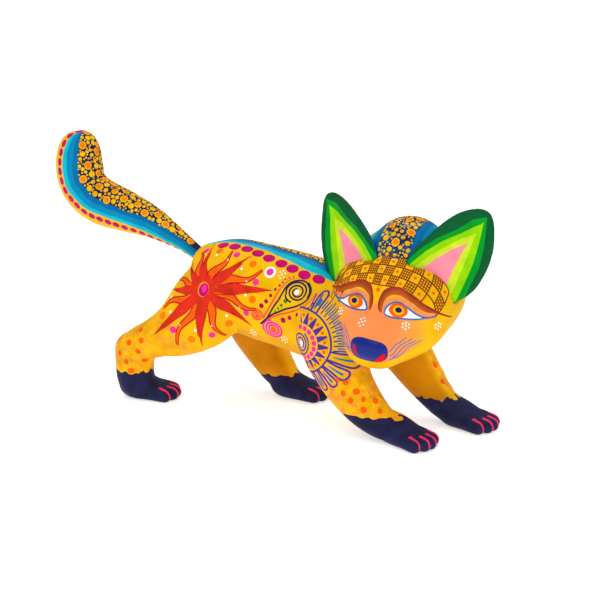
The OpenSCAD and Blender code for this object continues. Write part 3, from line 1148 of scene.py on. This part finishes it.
def sun(brush, u, v):
    """A sun of straight red spikes between wavy flames, round a pink seed."""
    for angle, reach in FLAMES:
        flame(brush, u, v, angle, reach)
    outline = []
    order = [(a, clear_reach(brush, u, v, a, r)) for a, r in sorted(SPIKES)]
    for i, (angle, reach) in enumerate(order):
        after = order[(i + 1) % len(order)][0]
        gap = (after - angle) % 360
        for share, width in ((1.0, 0.0), (0.72, 2.6), (0.48, 5.6), (0.3, 11)):
            outline.append(polar(u, v, 7.5 + (reach - 7.5) * share, angle + width))
        outline.append(polar(u, v, 7.9, angle + gap / 2))
        before_reach = order[(i + 1) % len(order)][1]
        for share, width in ((0.3, 11), (0.48, 5.6), (0.72, 2.6)):
            outline.append(polar(u, v, 7.5 + (before_reach - 7.5) * share, after - width))
    wide = [(u + (a - u) * 1.02 + 0.5 * np.sign(a - u) * 0.6, v + (b - v) * 1.02) for a, b in outline]
    brush.fill("crimson", wide, (u, v), 1, 20)
    brush.fill("red", outline, (u, v), 2, 20)
    brush.dot("amber", u - 0.4, v + 0.2, 3.5, 4.5, 3, -12)
    brush.dot("magenta", u, v, 3.0, 4.0, 4, -12)
    brush.dot("pink", u + 0.3, v + 0.7, 1.7, 2.3, 5, -12)


def sun_dots(brush, u, v):
    """Orange, pink and white dots round the sun, as offsets from its middle."""
    for x, z in ((1, 20), (26, 16), (30, -3), (14, -19.5), (-7.5, -30.5), (-27, -18.5)):
        brush.dot("orange", u + x, v + z, 2.2)
    for x, z in ((13.5, 19.5), (31, 7), (25.5, -11.5), (4.5, -27), (-18.5, -25.5), (-9.5, 18.5)):
        brush.dot("pink", u + x, v + z, 2.0)
    for x, z in ((0.5, 18), (9.5, 16.5), (20, 13), (25, 6.5), (25, -1), (21, -9), (13.5, -14.5),
                 (5, -21), (-4.5, -24.5), (-14.5, -22), (-21.5, -15.5), (-23.5, -7.5)):
        brush.dot("white", u + x, v + z, 0.75)


def paisley(brush, dx):
    """The flank's paisley with its spiral eye, framed in coral, and the rows of berries."""
    def at(points):
        return [(x + dx, z) for x, z in points]

    brush.line("navy", at([(-3, 57.5), (0.4, 60), (3.3, 64), (6.4, 69.3), (9.4, 73.5),
                           (11.4, 77.6), (13.2, 81.2), (15.6, 83.7), (19, 84.9), (22.4, 85),
                           (25.3, 84), (27.5, 82), (28.8, 79.7), (29.2, 77), (27.2, 74.8),
                           (23.5, 72.5), (19, 70.4), (14, 68.7), (9.3, 66.3), (5.5, 64.4),
                           (1.5, 61.3), (-3, 57.5)]), 0.85, 1)
    brush.line("navy", at([(25.6, 84), (27.8, 81.8), (29, 79.4), (28.9, 76.9)]), 1.5, 2)
    brush.line("navy", at(spiral(20.3, 79, 6.9, 5.6, 2.3, 200, 0.3, -1)), 0.85, 1)
    brush.line("navy", at([(13.4, 77), (13.8, 75.5), (15.6, 73.8), (17.6, 73.2)]), 0.85, 1)
    brush.dot("white", 20.2 + dx, 79, 1.5, layer=2)
    for x, z, r in ((14, 73.4, 1.25), (11.5, 70.6, 0.9), (9.4, 68.5, 0.75), (7.5, 66.5, 0.65)):
        brush.dot("green", x + dx, z, r)
    brush.line("coral", at([(-0.6, 61.4), (1.9, 65.5), (4.4, 70), (6.8, 74.3), (9, 78.6),
                            (11.6, 82.3), (14.2, 84.8), (17, 86)]), 0.95, 0, 0.5)
    brush.line("coral", at([(1.2, 60), (5.3, 62.9), (10.2, 65), (15, 66.6), (20.3, 68.7),
                            (25.5, 71.4), (29.6, 74.5), (31.7, 77.2), (33, 80)]), 0.95, 0, 0.5)
    brush.line("coral", at(spiral(-4.8, 62.5, 4.2, 3.7, 2.1, -20, 0.3, 1)), 0.9, 0)
    brush.dot("flame", -4.6 + dx, 62.6, 1.1, layer=1)
    brush.line("pink", at(spiral(5.2, 55.3, 7.3, 5.6, 2.7, 95, 0.26, 1)), 1.15, 0)
    brush.dot("flame", 5.4 + dx, 55.2, 1.6, layer=1)
    for x, z, r in ((-1.7, 68.6, 1.5), (1.3, 71.6, 1.25), (4, 75.3, 1), (6.5, 79, 0.8),
                    (8.8, 81.4, 0.7), (10.3, 83.2, 0.6), (11.4, 84.8, 0.55), (13.5, 85.8, 0.5),
                    (15.8, 86.6, 0.45), (12.7, 62, 1.6), (17.2, 64.1, 1.3), (23, 67.2, 1.15),
                    (28.2, 69.7, 0.8), (31.2, 72.4, 0.65), (33.3, 75, 0.6), (34.8, 77, 0.55),
                    (35.8, 79, 0.5)):
        brush.dot("berry", x + dx, z, r)


def rosette_point(u, v, r, angle):
    squash = 1 - 0.2 * max(0.0, -math.sin(math.radians(angle)))
    return polar(u, v, r * squash, angle)


def rosette(brush, u, v):
    """Half a rosette on the shoulder: a spiral, rings of dots and triangles, rays and petals."""
    def at(r, angle):
        return rosette_point(u, v, r, angle)

    brush.line("purple", spiral(u - 0.5, v + 0.3, 6.5, 7.4, 2.6, 60, 0.26, -1), 0.75, 1)
    brush.dot("white", u, v, 1.5, 2.0, layer=2)
    for angle in (96, 75, 54, 33, 13, -7, -27, -49, -74, -98):
        brush.dot("pink", *at(9.9, angle), 1.45)
    inner = [at(11.6, a) for a in range(-98, 97, 4)]
    outer = [at(19.6, a) for a in range(-98, 97, 4)]
    brush.strip("purple", outer, inner, 0, 5)
    for k in range(10):
        angle = -80 + 18.5 * k
        points = [at(11.9, angle), at(15.4, angle - 4.4), at(18.9, angle - 8), at(19.1, angle),
                  at(18.9, angle + 8), at(15.4, angle + 4.4)]
        brush.fill("yellow", points, at(16.8, angle), 1, 3)
        brush.dot("flame", *at(17, angle), 1.05, layer=2)
    brush.line("purple", [at(20.6, a) for a in range(-100, 99, 6)], 0.95, 1)
    for k in range(13):
        angle = 78 - 6.6 * k
        reach = 33 if angle < 50 else 33 - 0.15 * (angle - 50)
        brush.line("purple", [at(22.2, angle), at(reach, angle + 0.5)], 0.62, 0,
                   stops=True)
        if k < 12:
            brush.line("teal", [at(24.5, angle - 3.3), at(reach - 2, angle - 3.2)], 0.85, 0,
                       0.6, True)
    for angle, reach, half in ((70, 31.5, 4.6), (-10, 39, 6), (-24.5, 38, 5.2), (-38.5, 36.5, 4.8),
                               (-53, 35.5, 4.5), (-68, 34, 4.2)):
        petal(brush, u, v, angle, reach, half)


def petal(brush, u, v, angle, reach, half):
    """A long rounded outline with a teal drop inside."""
    def at(r, a):
        return rosette_point(u, v, r, a)

    near_half = half * 1.15
    brush.line("purple", [at(21, angle - near_half), at(27, angle - half), at(reach - 3, angle - half),
                          at(reach - 0.8, angle - half * 0.72), at(reach, angle),
                          at(reach - 0.8, angle + half * 0.72), at(reach - 3, angle + half),
                          at(27, angle + half), at(21, angle + near_half)], 1.0, 1)
    brush.line("teal", [at(reach - 3.4, angle), at(reach - 7, angle), at(23.5, angle)], 1.3, 0, 0.25)


def tame(a, e, hand):
    """Face positions: sideways from the middle and up, with the head's slight lean to its left."""
    azimuth = a if hand > 0 else -0.75 * a - 0.005 * a * a
    return azimuth, e - 0.065 * azimuth


EYE_TOP = [(11.7, 3.1), (13, 7.4), (15.3, 11.2), (19.4, 14.1), (24.3, 15.7), (29.2, 15.2),
           (33.4, 12.8), (38.3, 9.1), (42.8, 5.4), (47, 3.1), (50.8, 1.8), (56, 1.4), (61, 2)]
EYE_LOW = [(11.7, 3.1), (14, 2), (17.5, 1.6), (21, 1.3), (25, 1.1), (28.5, 1), (32, 0.9),
           (38.6, 0.7), (42, 0.6), (45, 0.6), (48, 0.9), (50.8, 1.2), (55, 1.2)]
LID = [(9.5, 5.4), (9.5, 10), (12, 17), (16, 21), (21.6, 23.2), (27.8, 23), (33.3, 20.7),
       (39, 17), (43.4, 13), (47.7, 9.5), (52, 6.5), (57, 5.4), (61.8, 5.2), (62.5, 2)]
LID_LOW = [(9.8, 3), (11, 0.5), (15, -0.5), (18, -1), (22, -1.2), (28, -1.3), (33.5, -1.4),
           (39, -1.5), (43, -1.5), (47, -1.3), (51, -1), (55, -0.6), (60, 0), (62.5, 1.6)]
BROW_OUT = [(7.4, 2.8), (5, 5.5), (3.4, 11.4), (4.5, 19), (8.5, 27), (14, 31.2), (19.5, 32.8),
            (27, 33.2), (32, 31.6), (37.5, 27.5), (43, 23.8), (47.5, 19.3), (51, 15.3),
            (56, 11.6), (61.3, 7.8), (66, 4)]
BROW_IN = [(7.6, 2.8), (8.6, 4), (9.3, 7), (9.8, 11), (12, 17), (15, 20.3), (21.6, 23),
           (27.8, 22.8), (33.3, 20.5), (39, 16.8), (43.4, 12.8), (46, 10.2), (49, 8),
           (53, 6), (58, 5), (62, 5.4)]


def oval(u, v, ru, rv, count=28):
    return [(u + ru * math.cos(2 * math.pi * j / count), v + rv * math.sin(2 * math.pi * j / count))
            for j in range(count)]


def eye(brush, hand):
    def at(points):
        return [tame(a, e, hand) for a, e in points]

    def ring(points, middle, colour, layer, rings=4):
        brush.fill(colour, at(points), tame(*middle, hand), layer, rings)

    brush.strip("peach", at(LID), at(LID_LOW), 0, 8)
    brush.strip("brow", at(BROW_OUT), at(BROW_IN), 1, 8)
    brush.line("brown", at([(61, 6.5), (66, 3.6), (72, 0.6), (79, -2)]), 0.9, 1, 0.6)
    brush.strip("white", at(EYE_TOP[:11]), at([EYE_LOW[0], EYE_LOW[1], *EYE_LOW[2:11]]), 1, 8)
    ring(clipped_oval(26.5, 8.3, 9.2, 6.6), (26.5, 8.3), "flame", 2)
    ring(oval(26.8, 8.6, 5.4, 4.2), (26.8, 8.6), "yellow", 3)
    ring(oval(27.1, 8.9, 3.2, 2.5), (27.1, 8.9), "pupil", 4)
    brush.line("eye_line", at(EYE_TOP), 0.85, 4, 0.8)
    brush.line("eye_line", at(EYE_LOW), 0.75, 4, 0.8)


def clipped_oval(u, v, ru, rv):
    """An iris partly under the upper lid."""
    top = np.array(EYE_TOP)
    return [(a, min(e, np.interp(a, top[:, 0], top[:, 1]) - 0.3))
            for a, e in oval(u, v, ru, rv, 36)]


def nose_point(a, e):
    return a, e - 0.065 * a


def nose_and_whiskers(brush):
    middle = (1.4, -22.9)
    outline = []
    for j in range(36):
        t = 2 * math.pi * j / 36
        c = math.copysign(abs(math.cos(t)) ** 0.78, math.cos(t))
        s = math.copysign(abs(math.sin(t)) ** 0.78, math.sin(t))
        outline.append(nose_point(middle[0] + 16.3 * c, middle[1] + 7.9 * s))
    brush.fill("nose_blue", outline, nose_point(*middle), 1, 9)
    brush.fill("scarlet", [(6.2, -30.6), (8.6, -27.4), (11.5, -25), (14.2, -24), (15.6, -24.6),
                           (15.6, -27), (14, -29.4), (10.5, -30.6)], (12, -27.8), 2, 3)
    brush.fill("scarlet", [(-5.6, -26.6), (-7, -22.4), (-8.6, -18.8), (-10, -19.6),
                           (-10.8, -22.4), (-9, -25.4)], (-8.6, -23), 2, 3)
    for hand in (-1, 1):
        for path in (((18.8, -22.6), (21, -20.4), (24.5, -17.6), (28, -16.6), (33, -13.8)),
                     ((18.8, -25.4), (22, -23.8), (25.5, -20.2), (30, -18.2), (34, -17.2),
                      (38, -15.2)),
                     ((20.8, -26.6), (25.5, -24.2), (29.5, -21.2), (33.5, -19.4), (38, -18.4),
                      (41, -17.2)),
                     ((23.5, -27.2), (29.5, -25.2), (33, -22.2), (37.5, -20.6), (43, -18.8),
                      (46.5, -17.4)),
                     ((18.5, -28), (22, -27.2), (25.5, -26.4))):
            brush.line("whisker", [tame(a, e, hand) for a, e in path], 0.5, 0, 0.7)


def face(brush):
    for hand in (-1, 1):
        eye(brush, hand)
    nose_and_whiskers(brush)
    brush.fill("yellow", [(-3.2, 30), (1, 31), (5, 30.5), (2.2, 22), (1, 18.5), (0, 22)],
               (1, 26), 1, 3)
    brush.dot("flame", 0.8, 27, 1.0, 1.2, 2)
    for u, v in ((33, -7.5), (63.5, -11.5), (-10, -7), (-43, -5)):
        cluster(brush, u, v, 3.2, 2.8)
    brush.dot("amber", 18, -5.5, 0.9, 1.3)


PAWS = [((91, -22.5), -12), ((108, 22.5), -8), ((-82.5, -22.5), 14), ((-3.5, 23), 6)]
CHECK_ROWS = [4.6, 9.9, 15.2, 20.6]


def checked_band(brush):
    """Squares across the forehead, plain with a dot and cross-hatched by turns."""
    def at(column, forward):
        return 12 * column * (1 + 0.02 * (forward - 12.5)), forward

    rows = len(CHECK_ROWS) - 1
    for k in range(rows):
        low, high = CHECK_ROWS[k], CHECK_ROWS[k + 1]
        first, last = (-7, 7) if k < 2 else (-6, 5)
        for row in (low, high):
            brush.line("check", [at(c, row) for c in range(first, last + 1)], 0.6, 0)
        for column in range(first, last + 1):
            brush.line("check", [at(column, low), at(column, high)], 0.6, 0)
        for column in range(first, last):
            if (column + k) % 2 == 0:
                u, v = at(column + 0.5, (low + high) / 2)
                brush.dot("flame", u, v, 0.85, layer=1)
                continue
            for share in (0.25, 0.5, 0.75):
                brush.line("check", [at(column + share, low), at(column + share, high)], 0.42, 0)
                forward = low + (high - low) * share
                brush.line("check", [at(column, forward), at(column + 1, forward)], 0.42, 0)


# ---- Scattered dots ---------------------------------------------------------
def scatter(brush, pick, sizes, fixed=()):
    """Dots of falling sizes that keep clear of each other; pick gives a chart point or None."""
    kept = []
    radii = []

    def put(u, v, radius, colours):
        place, _ = brush.surface.at(u, v)
        if kept:
            gap = np.linalg.norm(np.array(kept) - place, axis=1) - np.array(radii) - radius
            if gap.min() < 0.22:
                return False
        kept.append(place)
        radii.append(radius)
        stretch = chance.uniform(0.92, 1.12)
        for layer, (colour, share) in enumerate(colours):
            brush.dot(colour, u, v, radius * share * stretch, radius * share / stretch, layer)
        return True

    for u, v, radius, colours in fixed:
        put(u, v, radius, colours)
    for radius, wanted, tries, colours in sizes:
        done = 0
        for _ in range(tries):
            spot = pick(radius)
            if spot is not None and put(*spot, radius * chance.uniform(0.85, 1.15), colours):
                done += 1
            if done >= wanted:
                break


SUNNY = [("yellow", 1.0), ("orange", 0.68)]
PLAIN = [("yellow", 1.0)]
CELL = [("yellow", 1.0), ("flame", 0.74)]


def tail_painting(brush):
    def pick(radius):
        s = chance.uniform(4, 133)
        limit = np.interp(s, TAIL_KEYS, TAIL_NAVY)
        half = np.interp(s, [0, 20, 60, 100, 135], [4, 5, 9, 14, 9])
        limit -= math.degrees((radius - 0.6) / half)
        return s, chance.uniform(-limit, limit)

    fixed = [(s, a, 2.4, SUNNY) for s, a in
             ((125, 50), (121, 2), (112, 33), (98, 52), (81, 36), (72, 63), (75, 0), (62, 37),
              (56, -8), (46, 50), (40, -14), (32, 40), (25, -8), (14, 20))]
    scatter(brush, pick, [(2.3, 14, 200, SUNNY), (1.75, 46, 900, PLAIN), (1.15, 110, 2200, PLAIN),
                          (0.55, 330, 4200, PLAIN)], fixed)
    for side in (-1, 1):
        last = None
        for s in np.arange(8, 133, 0.4):
            angle = side * np.interp(s, [0, 20, 40, 60, 80, 95, 135],
                                     [150, 148, 142, 136, 133, 126, 124])
            place, _ = brush.surface.at(s, angle)
            if last is not None and np.linalg.norm(place - last) < 5.7:
                continue
            last = place
            size = np.interp(s, [8, 30, 60], [0.55, 0.8, 1.0])
            brush.dot("magenta", s, angle, 2.5 * size, 1.9 * size)


def back_painting(brush):
    def pick(radius):
        x = chance.uniform(-58, 51)
        top = np.interp(x, BAND_X, BAND_NAVY)
        room = math.degrees(radius / 27)
        return x, chance.uniform(top - FAR_SIDE + room, top - room)

    scatter(brush, pick, [(2.3, 9, 300, SUNNY), (1.7, 26, 500, PLAIN), (1.1, 60, 1200, PLAIN),
                          (0.55, 160, 2400, PLAIN)])
    for x, angle in ((-46, 18), (-37.5, 20), (-29, 20), (-20.5, 19.5), (-12.3, 22), (-4, 25),
                     (5, 27.5), (13, 30), (21.5, 33), (30.5, 32), (38, 24)):
        brush.dot("magenta", x, angle, 3.8, 3.0)
        top = np.interp(x, BAND_X, BAND_NAVY)
        brush.dot("magenta", x, 2 * top - FAR_SIDE - angle, 3.8, 3.0)


def crown_painting(brush):
    def pick(radius):
        across = chance.uniform(-10, 10)
        forward = chance.uniform(-36, 5.5)
        room = 1 - radius / 11
        if math.hypot((across + 0.5) / 10.5, max(forward - 1, 0) / 5) > room:
            return None
        return across, forward

    fixed = [(0.5, 0.5, 2.5, SUNNY), (7, -6, 2.4, SUNNY), (-6, -9, 2.2, SUNNY),
             (2, -15, 2.4, SUNNY), (-4, -20, 2.2, SUNNY), (6, -20, 2.2, SUNNY)]
    scatter(brush, pick, [(1.7, 14, 500, PLAIN), (1.1, 40, 1200, PLAIN), (0.5, 110, 2400, PLAIN)],
            fixed)


def claws(brush, at, swing, toes=(-1.5, -0.5, 0.5, 1.5)):
    """Short curved claws painted down the toes."""
    s = math.radians(swing)
    for i in toes:
        path = []
        outer = abs(i) == 1.5
        for ahead, aside, high in ((0.335, 0.235, 9), (0.42, 0.25, 7.4), (0.475, 0.255, 4.6),
                                   (0.49, 0.25, 2.4)):
            x = 37 * ahead * (0.74 if outer else 1)
            y = i * 23 * aside + 0.37
            spot = (at[0] + x * math.cos(s) - y * math.sin(s),
                    at[1] + x * math.sin(s) + y * math.cos(s), high)
            path.append(spot)
        claw(brush, path)


def claw(brush, path):
    middle = np.mean(path, axis=0) - [9, 0, 3]

    def chart(u, _):
        spot = np.array([np.interp(u, range(len(path)), [p[k] for p in path]) for k in range(3)])
        aim = unit(middle - spot)
        return spot - aim * 12, aim, 12

    brush.using(chart).line("claw", [(0, 0), (1, 0), (2, 0), (3, 0)], 1.9, 0, 0.35)


def shank_painting(brush, side, low, high, left, right, sunny):
    """Crowded yellow cells over peach on a shank, some with an orange middle."""
    def pick(_):
        z = chance.uniform(low, high)
        share = (z - low) / (high - low)
        start = left[0] + (left[1] - left[0]) * share
        end = right[0] + (right[1] - right[0]) * share
        x = chance.uniform(start, end)
        place, _ = brush.surface.at(x, z)
        return (x, z) if place[1] * side > 4 else None

    scatter(brush, pick, [(2.4, sunny, 60, CELL), (1.9, 12, 120, PLAIN), (1.2, 40, 300, PLAIN),
                          (0.7, 70, 500, PLAIN)])


# ---- The whole figure -------------------------------------------------------
def carve_figure():
    skin = carve_skin()
    plugs = {}
    for node in PLUGS:
        plugs[node] = carve_plug(node, 10 if node == "tail" else 8, 0.65)
        if node != "tail":
            hollow_ear(plugs[node], 1 if node.startswith("left") else -1)
        cutter = make_cutter([node, node + "_peg"])
        cut_away(skin, cutter)
        bpy.data.objects.remove(cutter)
    whole = Surface([skin.data], flank_chart(1))
    pieces = split_skin(skin)
    bpy.data.objects.remove(skin)
    for node, piece in {**pieces, **plugs}.items():
        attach(piece, PLUGS.get(node, "figure"))
        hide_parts(node)
    return pieces, plugs, whole


def give_grounds(pieces, plugs):
    skin_coat = skin_material()
    ear_coat = ear_material()
    for node, piece in {**pieces, **plugs}.items():
        piece.data.materials.clear()
        if node.endswith("ear"):
            ear_values(piece, 1 if node.startswith("left") else -1)
            piece.data.materials.append(ear_coat)
        else:
            colour_values(node, piece.data)
            piece.data.materials.append(skin_coat)
    wood = wood_material()
    for node in DOWELS + PEGS:
        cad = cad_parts[node].data
        cad.materials.clear()
        cad.materials.append(wood)


def ear_decoration(brush, hand):
    """Magenta and yellow dabs behind the ear."""
    for out, rise in ((-6, 21), (0, 22.5), (6, 23), (12, 22)):
        brush.dot("magenta", out, rise, 2.4, 1.6, turn=-60)
    for out, rise, size in ((-2, 30, 2.2), (5, 31, 2.4), (1, 37, 2), (7, 37.5, 1.8), (3, 43, 1.5)):
        brush.dot("yellow", out, rise, size)


def paint_figure(pieces, plugs, whole):
    body = Surface([p.data for n, p in pieces.items() if n != "head"], flank_chart(1))
    head = Surface([pieces["head"].data], head_chart)
    right = Brush(body, "figure")
    left = right.using(flank_chart(-1))
    for brush, shift in ((right, 0), (left, 4)):
        sun(brush, -37.8 + shift, 74.5)
        sun_dots(brush, -37.8 + shift, 74.5)
        paisley(brush, shift)
        brush.dot("white", 0.6 + shift, 87.6, 3.6)
        brush.dot("pink", 0.6 + shift, 87.6, 2.2, layer=1)
        for x, z in ((8.2, 87), (-10.3, 50.3), (11.8, 49.4)):
            cluster(brush, x + shift, z, 1.9, 1.9)
    rosette(Brush(whole, "figure"), 27.8, 51.5)
    rosette(Brush(whole.using(flank_chart(-1)), "figure"), 39, 51.5)
    shank_painting(right, -1, 18, 38, (64, 50), (80, 72), 9)
    shank_painting(right, -1, 19, 46, (-96, -92), (-78, -66), 8)
    shank_painting(left, 1, 19, 40, (88, 74), (104, 88), 7)
    shank_painting(left, 1, 19, 36, (-32, -40), (-20, -22), 6)
    back_painting(right.using(trunk_chart))
    on_head = Brush(head, "figure")
    face(on_head)
    checked_band(on_head.using(brow_chart))
    crown_painting(on_head.using(crown_chart))
    for at, swing in PAWS:
        claws(right, at, swing)
    tail_painting(Brush(Surface([plugs["tail"].data], tail_chart), "tail_body"))
    for node, hand in (("right_ear", -1), ("left_ear", 1)):
        surface = Surface([plugs[node].data], ear_chart(hand, -1))
        ear_decoration(Brush(surface, PLUGS[node]), hand)


def lay_coats():
    for (body, colour), coat in coats.items():
        obj = new_object(f"paint_{body}_{colour}", coat.points, coat.faces)
        if colour == "brow":
            add_values(obj.data, "shade", coat.shade)
            material = blended_material("paint_brow", "brown", "tan")
            obj.data.materials.append(material)
        else:
            material = bpy.data.materials.get("paint_" + colour) or paint_material(colour)
            obj.data.materials.append(material)
        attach(obj, body)


add_camera()
add_lights()
add_floor()
pieces, plugs, whole = carve_figure()
give_grounds(pieces, plugs)
paint_figure(pieces, plugs, whole)
lay_coats()
